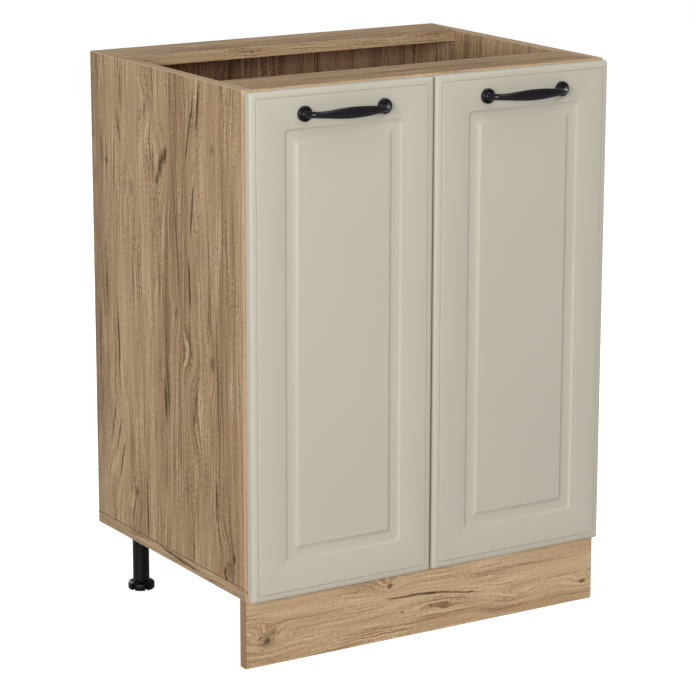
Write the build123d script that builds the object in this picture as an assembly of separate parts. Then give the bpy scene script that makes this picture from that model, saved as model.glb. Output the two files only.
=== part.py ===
from build123d import *
import math
import os

# Kitchen base cabinet: two doors, one shelf, a plinth board in front and two screw feet behind.
# Millimetres. +X is to the cabinet's right seen from the front, the doors face -Y, +Z is up.
# The origin is on the floor, at the middle of the whole object's width and depth.

# Carcass
cabinet_width = 600
cabinet_height = 820
plinth_height = 100
board = 16
edge_band = 0.6
back_thickness = 3
back_inset = 2
rail_front_width = 90
rail_rear_width = 88
plinth_thickness = 16

# Shelf and its pins
shelf_depth = 420
shelf_setback = 27
shelf_side_gap = 1.5
shelf_height_share = 0.46
shelf_pin_diameter = 5
shelf_pin_depth = 9
shelf_pin_rest = 8
shelf_pin_inset = 45
pin_row_pitch = 32
pin_row_count = 3
seat_clearance = 0.05

# Doors
door_thickness = 16
door_gap = 2
door_side_reveal = 2
door_middle_gap = 4
door_top_reveal = 2
door_edge_moulding_width = 10
door_edge_quirk = 1
door_edge_drop = 4
door_edge_shoulder = 2.5
round_middle_share = 0.293
groove_inset = 54
groove_width = 20
groove_wall = 1.2
groove_depth = 3
groove_inner_wall = 2
groove_lip = 0.8
groove_flat = 1.5
cove_middle_share = 0.5
cove_drop_share = 0.3

# Handle
handle_centres = 128
handle_drop = 34
rosette_diameter = 22
rosette_rim = 2
rosette_dome = 6
handle_projection = 29
grip_height = 15.5
grip_thickness = 6
grip_neck = 6.4
grip_elbow_height = 7.4
grip_blade_height = 12.3
grip_path_shares = ((1, 0.1), (0.86, 0.6), (0.62, 0.88), (0.34, 0.98), (0, 1))
handle_screw_diameter = 4
handle_screw_head = 9
handle_screw_head_height = 2.4
handle_screw_grip = 4.5

# Concealed hinges, places measured from the side board's outer face and the carcass front
hinge_end_distance = 100
cup_bore = 35
cup_bore_depth = 12.4
cup_edge_distance = 4.5
cup_wall = 0.9
cup_floor = 1
cup_fit = 0.1
cup_flange_thickness = 1.1
cup_flange_height = 60
cup_flange_outward = 8
cup_flange_inward = 14
cup_flange_radius = 4
cup_screw_spacing = 48
cup_screw_offset = 6
cup_screw_diameter = 3.5
cup_screw_length = 12
cup_screw_head = 6.5
cup_screw_head_height = 1.4
door_pivot_from_edge = 12
door_pivot_depth = 3.5
arm_pivot_from_side = 20
arm_pivot_behind_front = 1
hinge_pin_diameter = 2.6
hinge_pin_clearance = 0.05
link_thickness = 2
link_bow = 5
link_width = 14
link_eye = 5.4
arm_nose_radius = 2.7
arm_gap = 0.3
arm_sheet = 1.5
arm_height = 11
arm_front = 20
arm_neck_length = 5
arm_back = 60
arm_web_start = 9
mount_plate_thickness = 3
mount_plate_height = 46
mount_plate_length = 24
mount_plate_radius = 5
mount_screw_line = 37
mount_screw_spacing = 32
mount_screw_diameter = 5
mount_screw_length = 12
mount_screw_head = 8.5
mount_screw_head_height = 1.6
ridge_height = 7
ridge_clearance = 0.2
ridge_overhang = 4
clamp_screw_diameter = 4
clamp_screw_head = 8
clamp_screw_head_height = 2.2

# Door buffers
buffer_diameter = 8
buffer_air = 0.3
buffer_inset = 30

# Screw feet and their sockets
foot_from_side = 45
foot_from_back = 49
socket_flange_diameter = 62
socket_flange_thickness = 4
socket_diameter = 33
socket_depth = 18
leg_tube_diameter = 25
leg_tube_bore = 20
leg_tube_fit = 0.1
foot_diameter = 40
foot_height = 10
foot_lobe_gap = 7
foot_lobe_gap_depth = 6
foot_lobe_count = 6
foot_stem_length = 46
foot_stem_clearance = 0.05
foot_air = 4
foot_neck_diameter = 24
socket_screw_circle = 48
socket_screw_diameter = 4
socket_screw_length = 12
socket_screw_head = 7.5
socket_screw_head_height = 1.8
socket_screw_count = 4

# Joints between boards
confirmat_diameter = 5
confirmat_length = 50
confirmat_head = 10
confirmat_head_height = 3
confirmat_front_inset = 60
confirmat_count = 3
dowel_diameter = 8
dowel_length = 30
dowel_side_depth = 10
dowel_edge_inset = 22
nail_diameter = 1.4
nail_length = 20
nail_head = 3.4
nail_head_height = 0.6
nail_pitch = 120
nail_edge_inset = 40
bracket_leg = 30
bracket_height = 24
bracket_thickness = 3
bracket_gusset = 3
bracket_count = 3
bracket_inset = 70
bracket_screw_diameter = 3.5
bracket_screw_length = 13
bracket_screw_head = 7
bracket_screw_head_height = 1.8
screw_fit = 0.05
overrun = 2

# Derived places
half_width = cabinet_width / 2
inner_half = half_width - board
side_depth = shelf_depth + shelf_setback
front_stack = door_gap + door_thickness + handle_projection
object_depth = back_thickness + side_depth + front_stack
carcass_front = -object_depth / 2 + front_stack
carcass_back = carcass_front + side_depth
bottom_top = plinth_height + board
rail_bottom = cabinet_height - board
door_back = carcass_front - door_gap
door_front = door_back - door_thickness
door_width = (cabinet_width - 2 * door_side_reveal - door_middle_gap) / 2
door_top = cabinet_height - door_top_reveal
door_height = door_top - plinth_height
door_centre_x = door_middle_gap / 2 + door_width / 2
handle_z = door_top - handle_drop
shelf_z = bottom_top + (rail_bottom - bottom_top) * shelf_height_share
shelf_width = 2 * (inner_half - shelf_side_gap)
shelf_front = carcass_back - shelf_depth
door_edge_x = half_width - door_side_reveal
cup_x = door_edge_x - cup_edge_distance - cup_bore / 2
door_pivot_x = door_edge_x - door_pivot_from_edge
door_pivot_y = door_back - door_pivot_depth
arm_pivot_x = inner_half - arm_pivot_from_side
arm_pivot_y = carcass_front + arm_pivot_behind_front
hinge_heights = (plinth_height + hinge_end_distance, door_top - hinge_end_distance)
mount_screw_y = carcass_front + mount_screw_line
plate_face_x = inner_half - mount_plate_thickness
ridge_face_x = plate_face_x - ridge_height
arm_face_x = plate_face_x - arm_height
foot_y = carcass_back - foot_from_back
foot_x = half_width - foot_from_side


def block(x0, x1, y0, y1, z0, z1):
    """A box between two opposite corners."""
    middle = ((x0 + x1) / 2, (y0 + y1) / 2, (z0 + z1) / 2)
    return Pos(*middle) * Box(abs(x1 - x0), abs(y1 - y0), abs(z1 - z0))


def rod(axis, diameter, start, length):
    """A cylinder from a start point along +X, +Y or +Z, or the other way with a negative length."""
    turns = {"x": Rot(0, 90, 0), "y": Rot(-90, 0, 0), "z": Rot(0, 0, 0)}
    steps = {"x": (length / 2, 0, 0), "y": (0, length / 2, 0), "z": (0, 0, length / 2)}
    return Pos(*start) * Pos(*steps[axis]) * turns[axis] * Cylinder(diameter / 2, abs(length))


def screw(axis, tip, length, diameter, head, head_height):
    """A screw from its tip to the underside of its head, with the head past that, along the axis."""
    sign = 1 if length > 0 else -1
    step = {"x": (length, 0, 0), "y": (0, length, 0), "z": (0, 0, length)}[axis]
    under_head = tuple(t + s for t, s in zip(tip, step))
    return rod(axis, diameter, tip, length) + rod(axis, head, under_head, sign * head_height)


def mirrored(shape, side):
    """The shape as drawn for the right-hand side, or its mirror image for the left."""
    return shape if side > 0 else mirror(shape, about=Plane.YZ)


def save(shape, name):
    """Write one node."""
    export_step(shape, os.path.join("parts", name + ".step"))


def group(solids):
    """Separate solids that share one node."""
    return Compound(children=list(solids))


# Places that repeat
def confirmat_places():
    first = carcass_front + confirmat_front_inset
    last = carcass_back - confirmat_front_inset
    step = (last - first) / (confirmat_count - 1)
    return [first + step * i for i in range(confirmat_count)]


def dowel_places():
    front = carcass_front + edge_band
    return [
        front + dowel_edge_inset,
        front + rail_front_width - dowel_edge_inset,
        carcass_back - rail_rear_width + dowel_edge_inset,
        carcass_back - dowel_edge_inset,
    ]


def pin_columns():
    return [carcass_front + shelf_pin_inset, carcass_back - shelf_pin_inset]


def foot_screw_places():
    radius = socket_screw_circle / 2
    turn = 360 / socket_screw_count
    angles = [math.radians(turn * (i + 1 / 2)) for i in range(socket_screw_count)]
    return [(radius * math.cos(a), radius * math.sin(a)) for a in angles]


def bracket_places():
    reach = half_width - bracket_inset
    return [-reach + 2 * reach * i / (bracket_count - 1) for i in range(bracket_count)]


def nail_places():
    """Nails along both sides, the bottom panel and the rear rail: x and z of each."""
    side_x = half_width - board / 2
    low = bottom_top + nail_edge_inset
    high = rail_bottom - nail_edge_inset
    rows = round((high - low) / nail_pitch)
    heights = [low + (high - low) * i / rows for i in range(rows + 1)]
    reach = inner_half - nail_edge_inset
    columns = round(2 * reach / nail_pitch)
    across = [-reach + 2 * reach * i / columns for i in range(columns + 1)]
    places = [(side * side_x, z) for side in (-1, 1) for z in heights]
    places += [(x, plinth_height + board / 2) for x in across]
    places += [(x, rail_bottom + board / 2) for x in across]
    return places


# Carcass boards
def side_panel(side):
    front = carcass_front + edge_band
    panel = block(inner_half, half_width, front, carcass_back, bottom_top, cabinet_height)
    for y in confirmat_places():
        bore = confirmat_length - board + seat_clearance
        start = (half_width - board / 2, y, bottom_top)
        panel -= rod("z", confirmat_diameter + 2 * screw_fit, start, bore)
    for y in dowel_places():
        start = (inner_half, y, rail_bottom + board / 2)
        panel -= rod("x", dowel_diameter + 2 * screw_fit, start, dowel_side_depth + seat_clearance)
    for y in pin_columns():
        for row in range(-(pin_row_count // 2), pin_row_count // 2 + 1):
            start = (inner_half, y, shelf_z - shelf_pin_diameter / 2 + row * pin_row_pitch)
            panel -= rod("x", shelf_pin_diameter + 2 * screw_fit, start, shelf_pin_depth + seat_clearance)
    for z in hinge_heights:
        for step in (-1, 1):
            start = (inner_half, mount_screw_y, z + step * mount_screw_spacing / 2)
            bore = mount_screw_length + seat_clearance
            panel -= rod("x", mount_screw_diameter + 2 * screw_fit, start, bore)
    for x, z in nail_places():
        if abs(x) > inner_half and x > 0:
            panel -= nail_bore(x, z)
    return mirrored(panel, side)


def nail_bore(x, z):
    depth = nail_length - back_thickness + seat_clearance
    return rod("y", nail_diameter + 2 * screw_fit, (x, carcass_back, z), -depth)


def bottom_panel():
    front = carcass_front + edge_band
    panel = block(-half_width, half_width, front, carcass_back, plinth_height, bottom_top)
    for y in confirmat_places():
        for side in (-1, 1):
            start = (side * (half_width - board / 2), y, plinth_height)
            panel -= rod("z", confirmat_diameter + 2 * screw_fit, start, board)
            panel -= rod("z", confirmat_head + 2 * screw_fit, start, confirmat_head_height)
    for side in (-1, 1):
        for dx, dy in foot_screw_places():
            start = (side * foot_x + dx, foot_y + dy, plinth_height)
            bore = socket_screw_length - socket_flange_thickness + seat_clearance
            panel -= rod("z", socket_screw_diameter + 2 * screw_fit, start, bore)
    for x in bracket_places():
        start = (x, bracket_screw_y(), plinth_height)
        bore = bracket_screw_length - bracket_thickness + seat_clearance
        panel -= rod("z", bracket_screw_diameter + 2 * screw_fit, start, bore)
    for x, z in nail_places():
        if z < bottom_top and abs(x) < inner_half:
            panel -= nail_bore(x, z)
    return panel


def front_rail():
    front = carcass_front + edge_band
    rail = block(-inner_half, inner_half, front, front + rail_front_width, rail_bottom, cabinet_height)
    return rail - dowel_bores(dowel_places()[:2])


def rear_rail():
    front = carcass_back - rail_rear_width
    rail = block(-inner_half, inner_half, front, carcass_back, rail_bottom, cabinet_height)
    rail -= dowel_bores(dowel_places()[2:])
    for x, z in nail_places():
        if z > rail_bottom:
            rail -= nail_bore(x, z)
    return rail


def dowel_bores(places):
    depth = dowel_length - dowel_side_depth + seat_clearance
    bores = []
    for y in places:
        for side in (-1, 1):
            start = (side * inner_half, y, rail_bottom + board / 2)
            bores.append(rod("x", dowel_diameter + 2 * screw_fit, start, -side * depth))
    return bores


def back_panel():
    panel = block(
        -half_width + back_inset,
        half_width - back_inset,
        carcass_back,
        carcass_back + back_thickness,
        plinth_height + back_inset,
        cabinet_height - back_inset,
    )
    outer = carcass_back + back_thickness
    for x, z in nail_places():
        panel -= rod("y", nail_diameter + 2 * screw_fit, (x, carcass_back, z), back_thickness)
        panel -= rod("y", nail_head + 2 * screw_fit, (x, outer, z), -nail_head_height)
    return panel


def shelf():
    half = shelf_width / 2
    back = carcass_back - seat_clearance
    return block(-half, half, shelf_front + edge_band, back, shelf_z, shelf_z + board)


def shelf_pins():
    pins = []
    for side in (-1, 1):
        for y in pin_columns():
            z = shelf_z - shelf_pin_diameter / 2
            start = (inner_half - shelf_pin_rest, y, z)
            pin = rod("x", shelf_pin_diameter, start, shelf_pin_rest + shelf_pin_depth)
            pins.append(mirrored(pin, side))
    return pins


def plinth_board():
    y0 = carcass_front
    board_shape = block(-half_width, half_width, y0, y0 + plinth_thickness, 0, plinth_height)
    for x in bracket_places():
        start = (x, y0 + plinth_thickness, bracket_screw_z())
        bore = bracket_screw_length - bracket_thickness + seat_clearance
        board_shape -= rod("y", bracket_screw_diameter + 2 * screw_fit, start, -bore)
    return board_shape


def edge_band_side(side):
    y0 = carcass_front
    return mirrored(block(inner_half, half_width, y0, y0 + edge_band, bottom_top, cabinet_height), side)


def edge_band_bottom():
    y0 = carcass_front
    return block(-half_width, half_width, y0, y0 + edge_band, plinth_height, bottom_top)


def edge_band_rail():
    y0 = carcass_front
    return block(-inner_half, inner_half, y0, y0 + edge_band, rail_bottom, cabinet_height)


def edge_band_shelf():
    half = shelf_width / 2
    return block(-half, half, shelf_front, shelf_front + edge_band, shelf_z, shelf_z + board)


# Fixings of the carcass
def confirmats():
    screws = []
    for side in (-1, 1):
        for y in confirmat_places():
            tip = (side * (half_width - board / 2), y, plinth_height + confirmat_length)
            length = confirmat_head_height - confirmat_length
            screws.append(
                screw("z", tip, length, confirmat_diameter, confirmat_head, confirmat_head_height)
            )
    return screws


def rail_dowels():
    start = inner_half + dowel_side_depth
    z = rail_bottom + board / 2
    return [
        mirrored(rod("x", dowel_diameter, (start, y, z), -dowel_length), side)
        for side in (-1, 1)
        for y in dowel_places()
    ]


def back_nails():
    """Nails driven in until their heads lie level with the hardboard."""
    tip = carcass_back + back_thickness - nail_length
    shank = nail_length - nail_head_height
    return [
        screw("y", (x, tip, z), shank, nail_diameter, nail_head, nail_head_height)
        for x, z in nail_places()
    ]


def bracket_screw_y():
    return carcass_front + plinth_thickness + bracket_thickness + (bracket_leg - bracket_thickness) / 2


def bracket_screw_z():
    return plinth_height - bracket_thickness - (bracket_leg - bracket_thickness) / 2


def plinth_brackets():
    """Plastic corner brackets that join the plinth board to the bottom panel."""
    back = carcass_front + plinth_thickness
    brackets = []
    for x in bracket_places():
        x0 = x - bracket_height / 2
        x1 = x + bracket_height / 2
        top = plinth_height
        upright = block(x0, x1, back, back + bracket_thickness, top - bracket_leg, top)
        flat = block(x0, x1, back, back + bracket_leg, top - bracket_thickness, top)
        corner = (back + bracket_thickness, plinth_height - bracket_thickness)
        reach = bracket_leg - bracket_thickness
        web_face = Plane.YZ * Polyline(
            corner, (corner[0], corner[1] - reach), (corner[0] + reach, corner[1]), close=True
        )
        web = extrude(make_face(web_face), amount=bracket_gusset)
        body = upright + flat + Pos(x0, 0, 0) * web + Pos(x1 - bracket_gusset, 0, 0) * web
        hole = bracket_screw_diameter + 2 * screw_fit
        body -= rod("z", hole, (x, bracket_screw_y(), top - bracket_thickness), bracket_thickness)
        body -= rod("y", hole, (x, back, bracket_screw_z()), bracket_thickness)
        brackets.append(body)
    return brackets


def bracket_screws():
    back = carcass_front + plinth_thickness
    sizes = (bracket_screw_diameter, bracket_screw_head, bracket_screw_head_height)
    screws = []
    for x in bracket_places():
        bore = bracket_screw_length - bracket_thickness
        up = (x, bracket_screw_y(), plinth_height + bore)
        screws.append(screw("z", up, -bracket_screw_length, *sizes))
        forward = (x, back - bore, bracket_screw_z())
        screws.append(screw("y", forward, bracket_screw_length, *sizes))
    return screws


# Screw feet
def leg_socket(side):
    """A moulded flange under the bottom panel with the round socket that holds the leg tube."""
    top = plinth_height
    flange_low = (foot_x, foot_y, top - socket_flange_thickness)
    body = rod("z", socket_flange_diameter, flange_low, socket_flange_thickness)
    body += rod("z", socket_diameter, (foot_x, foot_y, top - socket_depth), socket_depth)
    bore = leg_tube_diameter + 2 * leg_tube_fit
    body -= rod("z", bore, (foot_x, foot_y, top - socket_depth), socket_depth - socket_flange_thickness)
    for dx, dy in foot_screw_places():
        start = (foot_x + dx, foot_y + dy, top - socket_flange_thickness)
        body -= rod("z", socket_screw_diameter + 2 * screw_fit, start, socket_flange_thickness)
    return mirrored(body, side)


def leg_tube(side):
    low = foot_height + foot_air
    high = plinth_height - socket_flange_thickness
    body = rod("z", leg_tube_diameter, (foot_x, foot_y, low), high - low)
    body -= rod("z", leg_tube_bore, (foot_x, foot_y, low), high - low - socket_flange_thickness)
    return mirrored(body, side)


def leg_foot(side):
    """The lobed foot with its stem in the leg tube."""
    body = rod("z", foot_diameter, (foot_x, foot_y, 0), foot_height)
    radius = foot_diameter / 2
    turn = 360 / foot_lobe_count
    half_gap = foot_lobe_gap / 2
    for i in range(foot_lobe_count):
        slot = block(radius - foot_lobe_gap_depth, radius + overrun, -half_gap, half_gap, 0, foot_height)
        body -= Pos(foot_x, foot_y, 0) * Rot(0, 0, turn * i) * slot
    stem = leg_tube_bore - 2 * foot_stem_clearance
    body += rod("z", foot_neck_diameter, (foot_x, foot_y, foot_height), foot_air / 2)
    body += rod("z", stem, (foot_x, foot_y, foot_height), foot_stem_length)
    return mirrored(body, side)


def socket_screws():
    screws = []
    for side in (-1, 1):
        for dx, dy in foot_screw_places():
            tip_z = plinth_height - socket_flange_thickness + socket_screw_length
            tip = (side * foot_x + dx, foot_y + dy, tip_z)
            sizes = (socket_screw_diameter, socket_screw_head, socket_screw_head_height)
            screws.append(screw("z", tip, -socket_screw_length, *sizes))
    return screws


# Doors
def edge_moulding_cutter(length):
    """What is cut from one edge: a quirk, then a round that falls to the edge. Runs along +Z from 0."""
    fall = door_edge_drop
    round_width = door_edge_moulding_width - door_edge_shoulder
    round_fall = fall - door_edge_quirk
    outline = Polyline(
        (0, fall),
        (-overrun, fall),
        (-overrun, -overrun),
        (door_edge_moulding_width, -overrun),
        (door_edge_moulding_width, door_edge_quirk),
        (round_width, door_edge_quirk),
    )
    bulge = (round_width * round_middle_share, door_edge_quirk + round_fall * round_middle_share)
    round_over = ThreePointArc((round_width, door_edge_quirk), bulge, (0, fall))
    bar = extrude(make_face(outline + round_over), amount=length + 2 * overrun)
    return Pos(0, 0, -overrun) * bar


def groove_outer_half():
    """The outer half of the panel groove's section, as (distance from the groove's middle, depth)."""
    half = groove_width / 2
    foot = (groove_lip - half, groove_wall)
    end = (-groove_flat, groove_depth)
    bulge = (
        foot[0] + (end[0] - foot[0]) * cove_middle_share,
        groove_depth - (groove_depth - groove_wall) * cove_drop_share,
    )
    sides = Polyline(end, (0, groove_depth), (0, -overrun), (-half, -overrun), (-half, groove_wall), foot)
    return make_face(sides + ThreePointArc(foot, bulge, end))


def groove_inner_half():
    """The inner half: the flat valley and the wall that rises to the panel's field."""
    half = groove_width / 2
    foot = half - groove_inner_wall
    outline = Polyline(
        (0, groove_depth), (foot, groove_depth), (half, 0), (half, -overrun), (0, -overrun), close=True
    )
    return make_face(outline)


def door_blank():
    outline = Plane.XZ * Rectangle(door_width, door_height)
    return Pos(0, 0, door_height / 2) * extrude(outline, amount=door_thickness)


def door_face_frame(x, z, turn):
    """Places a section drawn as (inward, depth) at a point of the door's front, running along the edge."""
    return Pos(x, -door_thickness, z) * Rot(0, turn, 0)


def door_cutters():
    """All moulding cuts of one door, in the door's own frame: middle of width, back face, lower edge."""
    half = door_width / 2
    cutters = []
    runs = [
        (-half, 0, 0, door_height),
        (half, door_height, 180, door_height),
        (-half, door_height, 90, door_width),
        (half, 0, 270, door_width),
    ]
    for x, z, turn, length in runs:
        cutters.append(door_face_frame(x, z, turn) * edge_moulding_cutter(length))
    path_inset = groove_inset + groove_width / 2
    across = door_width - 2 * path_inset
    upward = door_height - 2 * path_inset
    corners = [
        (-half + path_inset, path_inset, 0, upward),
        (half - path_inset, door_height - path_inset, 180, upward),
        (-half + path_inset, door_height - path_inset, 90, across),
        (half - path_inset, path_inset, 270, across),
    ]
    depth_axis = Axis((0, 0, 0), (0, -1, 0))
    for x, z, turn, length in corners:
        place = door_face_frame(x, z, turn)
        cutters.append(place * extrude(groove_outer_half(), amount=length))
        cutters.append(place * extrude(groove_inner_half(), amount=length))
        cutters.append(place * revolve(groove_outer_half(), depth_axis, revolution_arc=90))
    return cutters


def door(side):
    """One door, drawn for the right-hand side of the cabinet, hinged at its outer edge."""
    panel = door_blank()
    for cutter in door_cutters():
        panel -= cutter
    panel = Pos(door_centre_x, door_back, plinth_height) * panel
    for z in hinge_heights:
        panel -= rod("y", cup_bore, (cup_x, door_back, z), -cup_bore_depth)
        for place in cup_screw_places(z):
            bore = cup_screw_length - cup_flange_thickness + seat_clearance
            panel -= rod("y", cup_screw_diameter + 2 * screw_fit, place, -bore)
    for x in handle_screw_xs():
        panel -= rod("y", handle_screw_diameter + 2 * screw_fit, (x, door_back, handle_z), -door_thickness)
    return mirrored(panel, side)


def cup_screw_places(z):
    x = cup_x - cup_screw_offset
    return [(x, door_back, z + step * cup_screw_spacing / 2) for step in (-1, 1)]


def handle_screw_xs():
    return [door_centre_x + step * handle_centres / 2 for step in (-1, 1)]


# Handles
def grip_stations():
    """Middle line of the grip as (x, projection, height, thickness), from one foot to the other."""
    half = handle_centres / 2
    projection = handle_projection - grip_thickness / 2
    heights = (grip_neck, grip_neck, grip_elbow_height, grip_blade_height, grip_height)
    thicknesses = (grip_neck, grip_neck, grip_thickness, grip_thickness, grip_thickness)
    half_line = [
        (half * x_share, projection * y_share, height, thickness)
        for (x_share, y_share), height, thickness in zip(grip_path_shares, heights, thicknesses)
    ]
    other_half = [(-x, y, h, t) for x, y, h, t in reversed(half_line[:-1])]
    return half_line + other_half


def grip():
    stations = grip_stations()
    sections = []
    for i, (x, y, height, thickness) in enumerate(stations):
        before = stations[max(i - 1, 0)]
        after = stations[min(i + 1, len(stations) - 1)]
        along = Vector(after[0] - before[0], before[1] - after[1], 0)
        if i in (0, len(stations) - 1):
            along = Vector(0, -1 if i == 0 else 1, 0)
        plane = Plane(origin=(x, -y, 0), x_dir=(0, 0, 1), z_dir=along)
        sections.append(plane * Ellipse(height / 2, thickness / 2))
    return loft(sections)


def rosette():
    """A domed round foot, base on the door's face, dome towards -Y."""
    radius = rosette_diameter / 2
    dome_radius = (radius ** 2 + rosette_dome ** 2) / (2 * rosette_dome)
    centre = rosette_rim + rosette_dome - dome_radius
    ball = Pos(0, -centre, 0) * Sphere(dome_radius)
    plug = rod("y", rosette_diameter, (0, 0, 0), -(rosette_rim + rosette_dome))
    return ball & plug


def handle(side):
    body = grip()
    for x in (-handle_centres / 2, handle_centres / 2):
        body += Pos(x, 0, 0) * rosette()
    bore = handle_screw_grip + seat_clearance
    for x in (-handle_centres / 2, handle_centres / 2):
        body -= rod("y", handle_screw_diameter + 2 * screw_fit, (x, 0, 0), -bore)
    return mirrored(Pos(door_centre_x, door_front, handle_z) * body, side)


def handle_screws(side):
    length = door_thickness + handle_screw_grip
    screws = []
    for x in handle_screw_xs():
        tip = (x, door_front - handle_screw_grip, handle_z)
        one = screw("y", tip, length, handle_screw_diameter, handle_screw_head, handle_screw_head_height)
        screws.append(mirrored(one, side))
    return screws


# Hinges, drawn for the right-hand side
def hinge_cup(z, side):
    body = rod("y", cup_bore - 2 * cup_fit, (cup_x, door_back, z), -cup_bore_depth + cup_fit)
    flange = block(
        cup_x - cup_flange_inward,
        cup_x + cup_flange_outward,
        door_back,
        door_back + cup_flange_thickness,
        z - cup_flange_height / 2,
        z + cup_flange_height / 2,
    )
    body += fillet(flange.edges().filter_by(Axis.Y), cup_flange_radius)
    hollow = cup_bore - 2 * cup_fit - 2 * cup_wall
    mouth = (cup_x, door_back + cup_flange_thickness, z)
    depth = cup_bore_depth - cup_fit - cup_floor + cup_flange_thickness
    body -= rod("y", hollow, mouth, -depth)
    for place in cup_screw_places(z):
        body -= rod("y", cup_screw_diameter + 2 * screw_fit, place, cup_flange_thickness)
    body -= rod("z", hinge_pin_diameter + 2 * screw_fit, door_pin_start(z), door_pin_length())
    return mirrored(body, side)


def door_pin_length():
    """The pin crosses the cup at its pivot and ends in the wall."""
    offset = abs(door_pivot_x - cup_x) + hinge_pin_diameter / 2
    inner = cup_bore / 2 - cup_fit - cup_wall / 2
    return 2 * math.sqrt(inner ** 2 - offset ** 2)


def door_pin_start(z):
    return (door_pivot_x, door_pivot_y, z - door_pin_length() / 2)


def door_pins(side):
    length = door_pin_length()
    return [
        mirrored(rod("z", hinge_pin_diameter, door_pin_start(z), length), side) for z in hinge_heights
    ]


def cup_screws(side):
    screws = []
    for z in hinge_heights:
        for x, y, place_z in cup_screw_places(z):
            tip = (x, y + cup_flange_thickness - cup_screw_length, place_z)
            one = screw("y", tip, cup_screw_length, cup_screw_diameter, cup_screw_head, cup_screw_head_height)
            screws.append(mirrored(one, side))
    return screws


def hinge_link(z, side):
    """The bowed steel link between the pin in the cup and the pin in the arm."""
    start = Vector(door_pivot_x, door_pivot_y)
    end = Vector(arm_pivot_x, arm_pivot_y)
    chord = end - start
    sideways = Vector(-chord.Y, chord.X).normalized()
    outward = sideways if sideways.Y < 0 else -sideways
    middle = (start + end) * 0.5 + outward * link_bow
    arc = ThreePointArc(start, middle, end)
    strip = trace(arc, link_thickness)
    low = z - link_width / 2
    body = extrude(Pos(0, 0, low) * strip, amount=link_width)
    for point in (start, end):
        body += rod("z", link_eye, (point.X, point.Y, low), link_width)
    for point in (start, end):
        body -= rod("z", hinge_pin_diameter + 2 * hinge_pin_clearance, (point.X, point.Y, low), link_width)
    return mirrored(body, side)


def hinge_arm(z, side):
    """The steel arm: a channel on the mounting plate whose nose holds the link's pin."""
    front = carcass_front + arm_front
    middle_x = (plate_face_x + arm_face_x) / 2
    base = Pos(middle_x, front + arm_neck_length / 2) * Rectangle(arm_height, arm_neck_length)
    nose = Pos(arm_pivot_x, arm_pivot_y) * Circle(arm_nose_radius)
    neck = make_hull((base + nose).edges())
    length = arm_back - arm_front
    beam = Pos(middle_x, front + length / 2) * Rectangle(arm_height, length)
    outline = neck + beam
    half_inside = link_width / 2 + arm_gap
    half_outside = half_inside + arm_sheet
    body = Pos(0, 0, z - half_outside) * extrude(outline, amount=2 * half_outside)
    channel = Pos(arm_sheet, 0, z - half_inside) * extrude(outline, amount=2 * half_inside)
    body -= channel
    reach = arm_pivot_from_side + arm_nose_radius
    body -= block(
        inner_half - reach - overrun,
        inner_half,
        arm_pivot_y - arm_nose_radius - overrun,
        carcass_front + arm_web_start,
        z - half_inside,
        z + half_inside,
    )
    pin_start = (arm_pivot_x, arm_pivot_y, z - half_outside)
    body -= rod("z", hinge_pin_diameter + 2 * screw_fit, pin_start, 2 * half_outside)
    screw_start = (arm_face_x, mount_screw_y, z)
    body -= rod("x", clamp_screw_diameter + 2 * screw_fit, screw_start, arm_sheet)
    return mirrored(body, side)


def arm_pins():
    length = link_width + 2 * arm_gap + 2 * arm_sheet
    return [
        mirrored(rod("z", hinge_pin_diameter, (arm_pivot_x, arm_pivot_y, z - length / 2), length), side)
        for side in (-1, 1)
        for z in hinge_heights
    ]


def mount_plate(z, side):
    """The plate screwed to the side panel, with the ridge that the arm straddles."""
    half_length = mount_plate_length / 2
    plate = block(
        plate_face_x,
        inner_half,
        mount_screw_y - half_length,
        mount_screw_y + half_length,
        z - mount_plate_height / 2,
        z + mount_plate_height / 2,
    )
    plate = fillet(plate.edges().filter_by(Axis.X), mount_plate_radius)
    half_ridge = link_width / 2 + arm_gap - ridge_clearance
    ridge = block(
        ridge_face_x,
        inner_half,
        mount_screw_y - half_length - ridge_overhang,
        mount_screw_y + half_length + ridge_overhang,
        z - half_ridge,
        z + half_ridge,
    )
    body = plate + ridge
    for step in (-1, 1):
        start = (plate_face_x, mount_screw_y, z + step * mount_screw_spacing / 2)
        body -= rod("x", mount_screw_diameter + 2 * screw_fit, start, mount_plate_thickness)
    bore_start = (ridge_face_x, mount_screw_y, z)
    body -= rod("x", clamp_screw_diameter + 2 * screw_fit, bore_start, ridge_height)
    return mirrored(body, side)


def mount_screws():
    screws = []
    for side in (-1, 1):
        for z in hinge_heights:
            for step in (-1, 1):
                tip = (inner_half + mount_screw_length, mount_screw_y, z + step * mount_screw_spacing / 2)
                length = -(mount_screw_length + mount_plate_thickness)
                sizes = (mount_screw_diameter, mount_screw_head, mount_screw_head_height)
                screws.append(mirrored(screw("x", tip, length, *sizes), side))
    return screws


def clamp_screws():
    screws = []
    for side in (-1, 1):
        for z in hinge_heights:
            tip = (plate_face_x, mount_screw_y, z)
            sizes = (clamp_screw_diameter, clamp_screw_head, clamp_screw_head_height)
            screws.append(mirrored(screw("x", tip, -arm_height, *sizes), side))
    return screws


def door_buffers(side):
    """Soft buffers on the door's back, in front of the rail and of the bottom panel."""
    x = door_middle_gap / 2 + buffer_inset
    heights = (plinth_height + board / 2, rail_bottom + board / 2)
    thickness = door_gap - buffer_air
    return [mirrored(rod("y", buffer_diameter, (x, door_back, z), thickness), side) for z in heights]


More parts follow.
